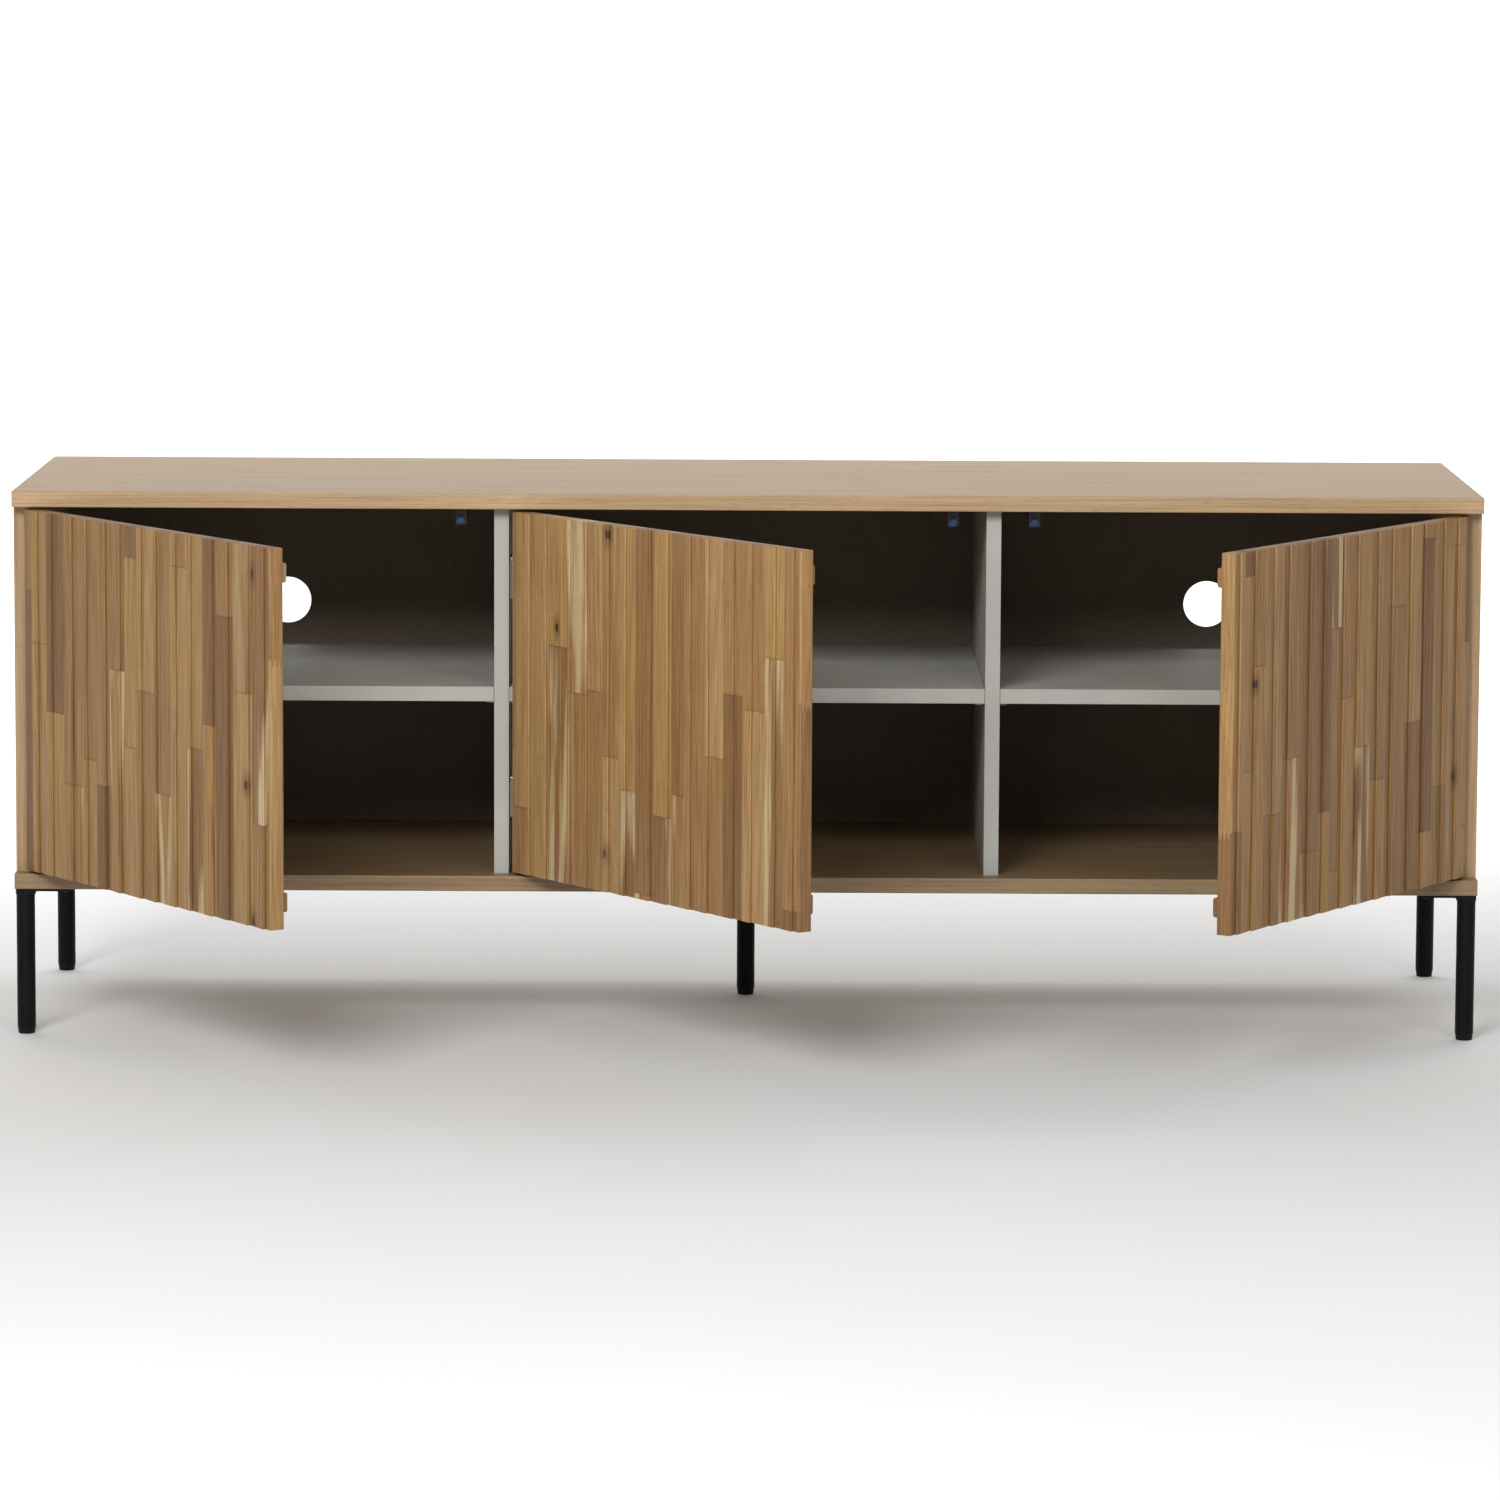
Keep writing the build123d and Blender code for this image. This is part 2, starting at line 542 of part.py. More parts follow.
def build():
    """All nodes in the cabinet frame, with y = 0 at the top board's front edge."""
    nodes = carcass()
    pegs, peg_holes = shelf_pegs()
    dowels, cams, bolts, cuts = panel_fittings()
    for panel, holes in peg_holes.items():
        cuts.setdefault(panel, []).extend(holes)
    screws_back, holes_back = back_screws()
    for name in ("left", "middle", "right"):
        cuts.setdefault("back_panel_" + name, []).extend(holes_back)
    for name in ("left", "right"):
        cuts["divider_" + name].extend(holes_back)
    leg_parts, feet, leg_screws = legs()
    cuts["bottom_board"].extend(leg_screws)
    nodes.update(leg_parts)
    nodes["foot_glides"] = feet
    nodes["leg_screws"] = leg_screws
    nodes["shelf_pegs"] = pegs
    nodes["panel_dowels"] = dowels
    nodes["cam_discs"] = cams
    nodes["cam_bolts"] = bolts
    nodes["back_panel_screws"] = screws_back
    nodes["hinge_plates"], nodes["hinge_arms"], nodes["hinge_plate_screws"] = [], [], []
    nodes["latch_screws"] = []
    panels = {"left": "side_panel_left", "middle": "divider_left", "right": "side_panel_right"}
    for door, info in DOORS.items():
        width = info["width"]
        plates, arms, screws = hinge_on_panel(door)
        nodes["hinge_plates"] += plates
        nodes["hinge_arms"] += arms
        nodes["hinge_plate_screws"] += screws
        cuts[panels[door]].extend(screws)
        body, stem, magnet, fixings = latch(door)
        nodes["latch_body_" + door] = body
        nodes["latch_plunger_" + door] = stem
        nodes["latch_magnet_" + door] = magnet
        nodes["latch_screws"] += fixings
        cuts["top_board"].extend(fixings)
        panel, (screws, holes) = door_panel(width), door_screws(width)
        strike, strike_pin = strike_plate(width)
        upper = batten(width, BATTEN_TOP - BATTEN_H)
        lower = batten(width, BATTEN_BOTTOM)
        cups = [hinge_cup(z) for z in HINGE_Z]
        for hole in holes:
            panel, upper, lower = panel - hole, upper - hole, lower - hole
            cups = [cup - hole for cup in cups]
        panel -= strike_pin
        nodes["door_panel_" + door] = put_open(panel, door)
        nodes["batten_upper_" + door] = put_open(upper, door)
        nodes["batten_lower_" + door] = put_open(lower, door)
        nodes["hinge_cups_" + door] = [put_open(cup, door) for cup in cups]
        nodes["door_screws_" + door] = [put_open(screw, door) for screw in screws]
        nodes["strike_plate_" + door] = put_open(strike, door)
        nodes["hinge_links_" + door] = links(door)
    for name, tools in cuts.items():
        shape = nodes[name]
        bounds = shape.bounding_box()
        for tool in tools:
            if bounds.overlaps(tool.bounding_box()):
                shape = shape - tool
        nodes[name] = shape
    return nodes


def middle_y(nodes):
    """The middle of the whole footprint, which the origin stands under."""
    boxes = [
        piece.bounding_box()
        for shape in nodes.values()
        for piece in (shape if isinstance(shape, list) else [shape])
    ]
    return (min(b.min.Y for b in boxes) + max(b.max.Y for b in boxes)) / 2


def main():
    os.makedirs("parts", exist_ok=True)
    nodes = build()
    shift = Pos(0, -middle_y(nodes), 0)
    for name, shape in nodes.items():
        pieces = shape if isinstance(shape, list) else [shape]
        placed = [shift * piece for piece in pieces]
        whole = placed[0] if len(placed) == 1 else Compound(children=placed)
        export_step(whole, f"parts/{name}.step")
    print(len(nodes), "nodes; footprint middle", round(middle_y(nodes), 4))


if __name__ == "__main__":
    main()
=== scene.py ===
"""Low oak media cabinet with three part-open doors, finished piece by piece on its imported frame."""

import json
from math import pi, radians

import bmesh
import bpy
from mathutils import Matrix, Vector


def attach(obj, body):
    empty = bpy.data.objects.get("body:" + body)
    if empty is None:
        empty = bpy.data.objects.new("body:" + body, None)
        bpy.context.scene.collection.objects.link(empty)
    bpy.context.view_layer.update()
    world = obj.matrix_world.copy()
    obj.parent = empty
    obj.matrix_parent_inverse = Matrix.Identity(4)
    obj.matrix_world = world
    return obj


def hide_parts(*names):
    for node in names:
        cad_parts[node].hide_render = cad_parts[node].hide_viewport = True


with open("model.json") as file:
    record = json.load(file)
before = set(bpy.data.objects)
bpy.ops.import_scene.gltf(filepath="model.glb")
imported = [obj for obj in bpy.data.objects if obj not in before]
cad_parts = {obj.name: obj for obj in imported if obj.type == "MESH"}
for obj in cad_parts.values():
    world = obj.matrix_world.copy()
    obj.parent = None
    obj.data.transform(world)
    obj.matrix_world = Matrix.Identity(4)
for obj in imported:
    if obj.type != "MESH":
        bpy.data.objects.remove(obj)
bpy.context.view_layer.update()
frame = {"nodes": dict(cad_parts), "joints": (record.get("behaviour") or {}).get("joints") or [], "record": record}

# ---------------------------------------------------------------- top and bottom boards
# Two long particle boards covered and edged in printed oak foil, grain along the cabinet.
# The uprights are dowelled and cam-bolted between them.


def colour(code):
    """An sRGB hex value as the linear colour that a socket takes."""
    parts = [int(code[i : i + 2], 16) / 255 for i in (1, 3, 5)]
    return [c / 12.92 if c <= 0.04045 else ((c + 0.055) / 1.055) ** 2.4 for c in parts] + [1]


def add(tree, kind, *values, stops=(), inputs=None, **settings):
    """Adds a node and gives its outputs. Values or links fill its first inputs in order, and
    others by name or number; a list of links goes to one input."""
    made = tree.nodes.new(kind)
    for key, value in settings.items():
        setattr(made, key, value)
    for i, (at, code) in enumerate(stops):
        steps = made.color_ramp.elements
        step = steps[i] if i < len(steps) else steps.new(at)
        step.position, step.color = at, colour(code)
    for key, value in [*enumerate(values), *(inputs or {}).items()]:
        links = value if isinstance(value, list) else [value]
        if isinstance(links[0], bpy.types.NodeSocket):
            for link in links:
                tree.links.new(link, made.inputs[key])
        else:
            made.inputs[key].default_value = value
    return made.outputs


def new_material(name):
    """An empty material, its node tree and the piece's own coordinates."""
    made = bpy.data.materials.new(name)
    made.use_nodes = True
    made.node_tree.nodes.clear()
    return made, made.node_tree, add(made.node_tree, "ShaderNodeTexCoord")["Object"]


def finish(tree, base, roughness, height, depth, values=None):
    """Ends a material: a shader with its colour, gloss and a relief that is depth metres deep."""
    relief = {"Height": height, "Distance": depth, "Strength": 1.0}
    bump = add(tree, "ShaderNodeBump", inputs=relief)
    inputs = {"Base Color": base, "Roughness": roughness, "Normal": bump[0], **(values or {})}
    shader = add(tree, "ShaderNodeBsdfPrincipled", inputs=inputs)
    add(tree, "ShaderNodeOutputMaterial", shader[0])


def paint(made, *names):
    """Gives CAD nodes their finish."""
    for name in names:
        for place in frame["nodes"][name].material_slots:
            place.material = made


MIX_FIRST, MIX_SECOND, MIXED = 6, 7, 2  # a Mix node's two colour inputs and its colour output


def oak_foil(name, along, dark, pale):
    """Printed and embossed oak foil: long soft growth bands, fibre streaks and short pores."""
    made, tree, here = new_material(name)

    def grain(length, width, detail, twist):
        scale = [1000 / (length if axis == along else width) for axis in "xyz"]
        run = add(tree, "ShaderNodeMapping", here, inputs={"Scale": scale})
        inputs = {"Scale": 1.0, "Detail": detail, "Distortion": twist}
        return add(tree, "ShaderNodeTexNoise", run[0], inputs=inputs)[0]

    bands, fibre, pores = grain(700, 9, 4, 0.25), grain(150, 1.8, 3, 0.1), grain(14, 1.1, 1, 0)
    streaks = add(tree, "ShaderNodeValToRGB", fibre, stops=[(0.3, "#c9bfae"), (0.55, "#ffffff")])
    dots = add(tree, "ShaderNodeValToRGB", pores, stops=[(0.62, "#ffffff"), (0.74, "#8f7a60")])
    base = add(tree, "ShaderNodeValToRGB", bands, stops=[(0.3, dark), (0.5, pale), (0.7, dark)])[0]
    for amount, tone in ((0.6, streaks[0]), (0.35, dots[0])):
        mixed = {MIX_FIRST: base, MIX_SECOND: tone}
        base = add(
            tree, "ShaderNodeMix", amount, inputs=mixed, data_type="RGBA", blend_type="MULTIPLY"
        )[MIXED]
    gloss = add(tree, "ShaderNodeMapRange", fibre, 0.3, 0.7, 0.52, 0.42)
    finish(tree, base, gloss[0], pores, 0.00012, {"IOR": 1.5, "Specular IOR Level": 0.5})
    return made


paint(oak_foil("oak_foil_top", "x", "#a98b66", "#b99b74"), "top_board")
# the bottom board's foil is the top's oak foil made darker: painted shade from the open doors and the light above
paint(oak_foil("oak_foil_bottom_shaded", "x", "#846c4f", "#907859"), "bottom_board")

# ---------------------------------------------------------------- side panels
# Upright particle board panels in the same foil, with its grain running up. They stand between
# the two long boards, and carry the outer doors' hinges.
side_foil = oak_foil("oak_foil_side", "z", "#9c7f5b", "#b0926b")
paint(side_foil, "side_panel_left", "side_panel_right")

# ---------------------------------------------------------------- dividers and shelves
# Fibreboard sprayed with a warm grey satin lacquer, edges and all, which leaves a faint
# orange-peel relief and slightly uneven gloss.


def sprayed_lacquer(name, low, high, cell, gloss_low, gloss_high, shine=0.5):
    """Pigmented lacquer or paint: cloudy tone, fine peel of a cell size in millimetres."""
    made, tree, here = new_material(name)
    cloud = add(tree, "ShaderNodeTexNoise", here, inputs={"Scale": 14.0, "Detail": 5.0})[0]
    peel = add(tree, "ShaderNodeTexNoise", here, inputs={"Scale": 1000 / cell, "Detail": 2.0})[0]
    base = add(tree, "ShaderNodeValToRGB", cloud, stops=[(0.3, low), (0.7, high)])
    gloss = add(tree, "ShaderNodeMapRange", cloud, 0.3, 0.7, gloss_low, gloss_high)
    finish(tree, base[0], gloss[0], peel, 0.00006, {"IOR": 1.5, "Specular IOR Level": shine})
    return made


grey_lacquer = sprayed_lacquer("grey_satin_lacquer", "#a3a39c", "#adaca5", 2.4, 0.5, 0.6, 0.35)
paint(grey_lacquer, "divider_left", "divider_right", "shelf_left", "shelf_middle", "shelf_right")

# ---------------------------------------------------------------- back panels
# Thin hardboard sheets screwed to the dividers' rear edges; their dark taupe face is partly paint and
# partly painted shade of the deep compartments. Pressed fibre leaves a flecked, matt surface. A cable
# hole is bored behind each compartment.


def hardboard_paint_and_shade(name):
    """Matt paint over pressed fibre: flecks 3 mm long over cloudy tone."""
    made, tree, here = new_material(name)
    fleck = add(tree, "ShaderNodeTexNoise", here, inputs={"Scale": 330.0, "Detail": 3.0})[0]
    cloud = add(tree, "ShaderNodeTexNoise", here, inputs={"Scale": 9.0, "Detail": 4.0})[0]
    both = add(tree, "ShaderNodeMath", fleck, cloud, operation="ADD")
    half = add(tree, "ShaderNodeMath", both[0], 0.5, operation="MULTIPLY")
    # dark taupe: partly the paint's own colour, partly painted shade of the deep compartments
    base = add(tree, "ShaderNodeValToRGB", half[0], stops=[(0.35, "#5f5347"), (0.65, "#6e6155")])
    finish(tree, base[0], 0.72, fleck, 0.00015, {"IOR": 1.5})
    return made


hardboard = hardboard_paint_and_shade("hardboard_paint_and_shade")
paint(hardboard, "back_panel_left", "back_panel_middle", "back_panel_right")

# ---------------------------------------------------------------- shelf pegs
# Clear polycarbonate pegs: a pin in the panel and a flat pad that the shelf lies on.


def clear_polycarbonate(name):
    """Moulded clear plastic, faintly frosted by handling."""
    made, tree, here = new_material(name)
    haze = add(tree, "ShaderNodeTexNoise", here, inputs={"Scale": 600.0, "Detail": 2.0})[0]
    gloss = add(tree, "ShaderNodeMapRange", haze, 0.0, 1.0, 0.08, 0.25)
    base = add(tree, "ShaderNodeValToRGB", haze, stops=[(0.0, "#dfe6e6"), (1.0, "#f2f5f5")])
    finish(tree, base[0], gloss[0], haze, 0.00002, {"IOR": 1.58, "Transmission Weight": 0.9})
    return made


paint(clear_polycarbonate("clear_polycarbonate"), "shelf_pegs")

# ---------------------------------------------------------------- dowels and cam fittings
# Fluted beech dowels line the uprights up with the boards; a steel bolt in each board is drawn
# tight by a die-cast zinc cam in the upright.


def turned_beech(name):
    """Beech: pale pink-brown with short dark ray flecks along the grain."""
    made, tree, here = new_material(name)
    run = add(tree, "ShaderNodeMapping", here, inputs={"Scale": (900.0, 900.0, 160.0)})
    rays = add(tree, "ShaderNodeTexNoise", run[0], inputs={"Scale": 1.0, "Detail": 2.0})[0]
    base = add(tree, "ShaderNodeValToRGB", rays, stops=[(0.4, "#c8a27c"), (0.65, "#a87f58")])
    finish(tree, base[0], 0.65, rays, 0.0001, {"IOR": 1.5})
    return made


def bright_metal(name, low, high, run_lengths, rough_low, rough_high):
    """Plated or cast metal with the fine lines its tumbling or drawing left."""
    made, tree, here = new_material(name)
    scale = [1000 / length for length in run_lengths]
    run = add(tree, "ShaderNodeMapping", here, inputs={"Scale": scale})
    lines = add(tree, "ShaderNodeTexNoise", run[0], inputs={"Scale": 1.0, "Detail": 3.0})[0]
    base = add(tree, "ShaderNodeValToRGB", lines, stops=[(0.3, low), (0.7, high)])
    gloss = add(tree, "ShaderNodeMapRange", lines, 0.3, 0.7, rough_low, rough_high)
    finish(tree, base[0], gloss[0], lines, 0.00002, {"Metallic": 1.0})
    return made


paint(turned_beech("turned_beech"), "panel_dowels")
zinc = bright_metal("die_cast_zinc", "#9a9c9e", "#b2b3b4", (0.8, 0.8, 0.8), 0.35, 0.55)
paint(zinc, "cam_discs", "cam_bolts")

# ---------------------------------------------------------------- legs and glides
# Round steel tubes welded to screw plates and powder-coated matt black; each stands on a
# pressed-in plastic glide. The fifth leg carries the middle of the bottom board.
powder_coat = sprayed_lacquer("black_powder_coat", "#060607", "#0b0b0c", 0.9, 0.45, 0.6, 0.15)
paint(
    powder_coat,
    "leg_front_left",
    "leg_front_right",
    "leg_rear_left",
    "leg_rear_right",
    "leg_middle",
)
moulded_nylon = sprayed_lacquer("black_moulded_nylon", "#0c0c0d", "#121214", 0.6, 0.5, 0.65, 0.2)
paint(moulded_nylon, "foot_glides")

# ---------------------------------------------------------------- hinges
# Pressed and nickel-plated concealed hinges: plate and arm on the panel, cup in the door, and
# the hooked link between them, all in drawn steel with its lines running up.
nickel = bright_metal("nickel_plated_steel", "#a9a49c", "#c6c1b8", (0.5, 0.5, 9.0), 0.2, 0.38)
paint(nickel, "hinge_plates", "hinge_arms")
DOORS = ("left", "middle", "right")
for door in DOORS:
    paint(nickel, "hinge_links_" + door, "hinge_cups_" + door)

# ---------------------------------------------------------------- doors
# Solid oak panels glued up from finger-jointed staves, then milled into narrow saw-tooth strips.
# The milling cuts across the staves; painted shade darkens the foot of each step, and proud edges less.
RELIEF = 0.003
STRIPS = [0.030, 0.039, 0.030, 0.043]  # strip widths, repeated from the free edge
FREE_STRIP = 0.011
MEAN_STRIP = sum(STRIPS) / len(STRIPS)
STEP_RUN = 0.0003  # how far a step leans
PROUD_ROUND, END_ROUND, ARRIS = 0.001, 0.002, 0.0006
EDGE_SHADE = 0.7  # how much painted shade darkens a proud edge, against a foot
FOOT_SHADE_WIDTH = 0.001  # width of the painted shade line past a step's foot
HINGE_END = 0.8  # of the relief, where the first strip is cut off at the hinge edge
UPRIGHT = 0.1  # an edge that rises more than this runs up the panel
TOUCH = 1e-6  # points closer than this are at one place
followers = {c["joint"]: c["ratio"] for c in frame["record"]["behaviour"]["couplings"]}
swings = {j["name"]: j for j in frame["joints"]}


def door_places(door):
    """The matrix from a door's own frame to the cabinet, and the panel's box in that frame.
    The own frame has x in from the hinge edge and y back from the closed front face."""
    joint = swings["door_open_" + door]
    swing = radians(-joint["range_deg"][0] * (1 - followers["link_turn_" + door]))
    hand = -joint["axis"][2]
    turned = Matrix.Diagonal((hand, 1, 1, 1)) @ Matrix.Rotation(-swing, 4, "Z")
    points = [turned.inverted() @ v.co for v in frame["nodes"]["door_panel_" + door].data.vertices]
    low = Vector([min(p[i] for p in points) for i in range(3)])
    high = Vector([max(p[i] for p in points) for i in range(3)])
    corner = turned @ Vector((low.x, low.y, 0))
    size = Vector((high.x - low.x, high.y - low.y, 0))
    return Matrix.Translation(corner) @ turned, size, low.z, high.z, swing, hand


def strip_feet(width):
    """Where each step stands, from the hinge edge."""
    feet, x, i = [], width - FREE_STRIP, 0
    while x > 0:
        feet.append(x)
        x -= STRIPS[i % len(STRIPS)]
        i += 1
    return sorted(feet)


def ribbed_panel(name, door):
    """The panel's mesh in its own frame, with a groove attribute for painted shade that is 1 at
    each step's foot and EDGE_SHADE round its proud edge."""
    home, size, low, high, _, hand = door_places(door)
    width, thick = size.x, size.y
    feet = strip_feet(width)
    outline = [(0.0, RELIEF * HINGE_END)]
    for x in feet:
        outline += [(x, 0.0), (x + STEP_RUN, RELIEF)]
        outline.append((x + STEP_RUN + FOOT_SHADE_WIDTH, RELIEF * (1 - FOOT_SHADE_WIDTH / MEAN_STRIP)))
    outline += [(width, RELIEF * (1 - FREE_STRIP / STRIPS[-1])), (width, thick), (0.0, thick)]
    work = bmesh.new()
    base = work.faces.new([work.verts.new((x, y, low)) for x, y in outline])
    grown = bmesh.ops.extrude_face_region(work, geom=[base])
    raised = [v for v in grown["geom"] if isinstance(v, bmesh.types.BMVert)]
    bmesh.ops.translate(work, verts=raised, vec=(0, 0, high - low))

    def uprights(wanted):
        return [
            e
            for e in work.edges
            if abs(e.verts[0].co.z - e.verts[1].co.z) > UPRIGHT and wanted(e.verts[0].co)
        ]

    proud = uprights(lambda p: p.y < TOUCH)
    bmesh.ops.bevel(work, geom=proud, offset=PROUD_ROUND, segments=3, profile=0.5, affect="EDGES")
    ends = uprights(lambda p: p.x < TOUCH or p.x > width - TOUCH)
    bmesh.ops.bevel(work, geom=ends, offset=END_ROUND, segments=4, profile=0.5, affect="EDGES")
    rims = [e for e in work.edges if abs(e.verts[0].co.z - e.verts[1].co.z) < TOUCH]
    bmesh.ops.bevel(work, geom=rims, offset=ARRIS, segments=2, profile=0.5, affect="EDGES")
    bmesh.ops.recalc_face_normals(work, faces=work.faces)
    # painted shade: the oak darkens where this is 1, at each step's foot, and less round each proud edge
    groove = work.verts.layers.float.new("groove")
    for v in work.verts:
        near = min(abs(v.co.x - x - STEP_RUN) for x in feet)
        if near < ARRIS and RELIEF - ARRIS < v.co.y < 2 * RELIEF:
            v[groove] = 1.0
        elif near < PROUD_ROUND and v.co.y < 0.8 * PROUD_ROUND:
            v[groove] = EDGE_SHADE
    mesh = bpy.data.meshes.new(name)
    work.to_mesh(mesh)
    work.free()
    return mesh, home, hand


POCKET_CUTTER = 0.02  # longer than a pocket is deep


def cup_pockets(door, home):
    """Cutters for the hinge cups' blind holes, in the door's own frame."""
    back = home.inverted()
    points = [back @ v.co for v in frame["nodes"]["hinge_cups_" + door].data.vertices]
    middle = sum(p.z for p in points) / len(points)
    cutters = bmesh.new()
    for group in ([p for p in points if p.z < middle], [p for p in points if p.z > middle]):
        left, right = min(p.x for p in group), max(p.x for p in group)
        bed = min(p.y for p in group)
        height = (min(p.z for p in group) + max(p.z for p in group)) / 2
        centre = Matrix.Translation(((left + right) / 2, bed + POCKET_CUTTER / 2, height))
        bmesh.ops.create_cone(
            cutters,
            cap_ends=True,
            segments=64,
            radius1=(right - left) / 2,
            radius2=(right - left) / 2,
            depth=POCKET_CUTTER,
            matrix=centre @ Matrix.Rotation(pi / 2, 4, "X"),
        )
    mesh = bpy.data.meshes.new("pockets")
    cutters.to_mesh(mesh)
    cutters.free()
    return bpy.data.objects.new("pockets", mesh)


STAVE_WIDTH, STAVE_LENGTH, FINGER_PITCH, FINGER_RISE = 31.0, 340.0, 2.2, 4.0  # millimetres
KNOT_SPACING = 105.0
LANE_SHIFT, STAVE_SHIFT = 5000.0, 900.0  # how far one lane or stave's pattern lies from the next
STAVE_LEAN = 0.05  # the grain leans by up to half of this either way
FACE_DEPTH = 1200 * RELIEF  # in millimetres, just past the steps, where the fingers start


def finger_jointed_oak(name, door, seed, door_shade):
    """Oiled oak staves 20 to 45 mm wide, finger-jointed end to end, in the door's own frame.
    door_shade is a tint of painted shade: the left door a little darker, the right door more."""
    made, tree, world = new_material(name)
    home, _, _, _, swing, hand = door_places(door)
    turn, scale = (0, 0, -swing * hand), (0.001 * hand, 0.001, 0.001)
    own = add(
        tree, "ShaderNodeMapping", world, home.translation, turn, scale, vector_type="TEXTURE"
    )
    across, deep, up = add(tree, "ShaderNodeSeparateXYZ", own[0])

    # columns of staves, then the staves in a column, whose ends zigzag through the thickness
    shifted = add(tree, "ShaderNodeMath", across, seed, operation="ADD")[0]
    columns = {"W": shifted, "Scale": 1 / STAVE_WIDTH, "Randomness": 0.75}
    lane = add(tree, "ShaderNodeTexVoronoi", inputs=columns, voronoi_dimensions="1D")
    lane_number = add(tree, "ShaderNodeSeparateColor", lane["Color"])[0]
    inside = add(tree, "ShaderNodeMath", deep, FACE_DEPTH, operation="SUBTRACT")
    inside = add(tree, "ShaderNodeMath", inside[0], 0.0, operation="MAXIMUM")
    fingers = add(tree, "ShaderNodeMath", inside[0], FINGER_PITCH, operation="PINGPONG")
    raised = add(tree, "ShaderNodeMath", fingers[0], FINGER_RISE, up, operation="MULTIPLY_ADD")
    along = add(
        tree, "ShaderNodeMath", lane_number, LANE_SHIFT, raised[0], operation="MULTIPLY_ADD"
    )
    rows = {"W": along[0], "Scale": 1 / STAVE_LENGTH, "Randomness": 1.0}
    stave = add(tree, "ShaderNodeTexVoronoi", inputs=rows, voronoi_dimensions="1D")
    joint = add(
        tree,
        "ShaderNodeTexVoronoi",
        inputs=rows,
        voronoi_dimensions="1D",
        feature="DISTANCE_TO_EDGE",
    )
    tone, kind, lean = list(add(tree, "ShaderNodeSeparateColor", stave["Color"]))[:3]

    # each stave's own grain: the pattern is moved by its number and leans a little
    moved = add(tree, "ShaderNodeMath", tone, STAVE_SHIFT, shifted, operation="MULTIPLY_ADD")
    slope = add(
        tree, "ShaderNodeMath", lean, STAVE_LEAN, -STAVE_LEAN / 2, operation="MULTIPLY_ADD"
    )
    leaned = add(tree, "ShaderNodeMath", up, slope[0], moved[0], operation="MULTIPLY_ADD")
    grain = add(tree, "ShaderNodeCombineXYZ", leaned[0], deep, up)[0]

    def streaks(width, length, detail, twist):
        scale = (1 / width, 1 / width, 1 / length)
        run = add(tree, "ShaderNodeMapping", grain, inputs={"Scale": scale})
        inputs = {"Scale": 1.0, "Detail": detail, "Distortion": twist}
        return add(tree, "ShaderNodeTexNoise", run[0], inputs=inputs)[0]

    rings, fibre = streaks(9, 240, 5, 0.8), streaks(1.9, 90, 3, 0.2)
    pores, sap = streaks(0.8, 9, 1, 0), streaks(22, 330, 3, 0.4)
    tones = ["#8f6c46", "#a07a50", "#a9875a", "#a98355", "#b6935e", "#b9986d"]
    stave_stops = [(i / (len(tones) - 1), code) for i, code in enumerate(tones)]
    ring_stops = [(0.3, "#ad9172"), (0.45, "#ffffff"), (0.55, "#d9c6a8"), (0.62, "#ffffff")]
    base = add(tree, "ShaderNodeValToRGB", tone, stops=stave_stops)[0]
    ring_tone = add(tree, "ShaderNodeValToRGB", rings, stops=ring_stops)
    fibre_tone = add(
        tree, "ShaderNodeValToRGB", fibre, stops=[(0.3, "#ab9379"), (0.6, "#ffffff")]
    )
    pore_tone = add(
        tree, "ShaderNodeValToRGB", pores, stops=[(0.62, "#ffffff"), (0.76, "#7a5c3c")]
    )

    # sapwood: some staves have a pale, straw-coloured side
    sap_side = add(tree, "ShaderNodeValToRGB", sap, stops=[(0.5, "#000000"), (0.6, "#dadada")])
    sappy = add(tree, "ShaderNodeValToRGB", kind, stops=[(0.24, "#ffffff"), (0.28, "#000000")])
    pale = add(tree, "ShaderNodeMath", sap_side[0], sappy[0], operation="MULTIPLY")

    # heartwood with dark wandering lines, on few staves
    bent = add(tree, "ShaderNodeMapping", grain, inputs={"Scale": (1 / 26, 1 / 26, 1 / 260)})
    wander = {"Scale": 1.0, "Distortion": 7.0, "Detail": 3.0, "Detail Scale": 2.0}
    wave = add(tree, "ShaderNodeTexWave", bent[0], inputs=wander)
    lines = add(tree, "ShaderNodeValToRGB", wave[0], stops=[(0.0, "#ffffff"), (0.4, "#000000")])
    dark = add(tree, "ShaderNodeValToRGB", kind, stops=[(0.82, "#000000"), (0.85, "#ffffff")])
    heart = add(tree, "ShaderNodeMath", lines[0], dark[0], operation="MULTIPLY")

    # knots: a dark core in a brown halo, here and there
    squat = add(tree, "ShaderNodeMath", up, 0.6, operation="MULTIPLY")
    spread = add(tree, "ShaderNodeCombineXYZ", shifted, squat[0])
    scatter = {"Scale": 1 / KNOT_SPACING, "Randomness": 1.0}
    knots = add(
        tree, "ShaderNodeTexVoronoi", spread[0], inputs=scatter, voronoi_dimensions="2D"
    )
    number = add(tree, "ShaderNodeSeparateColor", knots["Color"])[0]
    chosen = add(tree, "ShaderNodeValToRGB", number, stops=[(0.74, "#000000"), (0.78, "#ffffff")])
    ragged = add(tree, "ShaderNodeMath", fibre, 0.02, -0.01, operation="MULTIPLY_ADD")
    reach = add(tree, "ShaderNodeMath", knots["Distance"], ragged[0], operation="ADD")[0]
    halo = add(tree, "ShaderNodeValToRGB", reach, stops=[(0.02, "#cccccc"), (0.1, "#000000")])
    core = add(tree, "ShaderNodeValToRGB", reach, stops=[(0.022, "#f2f2f2"), (0.028, "#000000")])
    halo = add(tree, "ShaderNodeMath", chosen[0], halo[0], operation="MULTIPLY")
    core = add(tree, "ShaderNodeMath", chosen[0], core[0], operation="MULTIPLY")
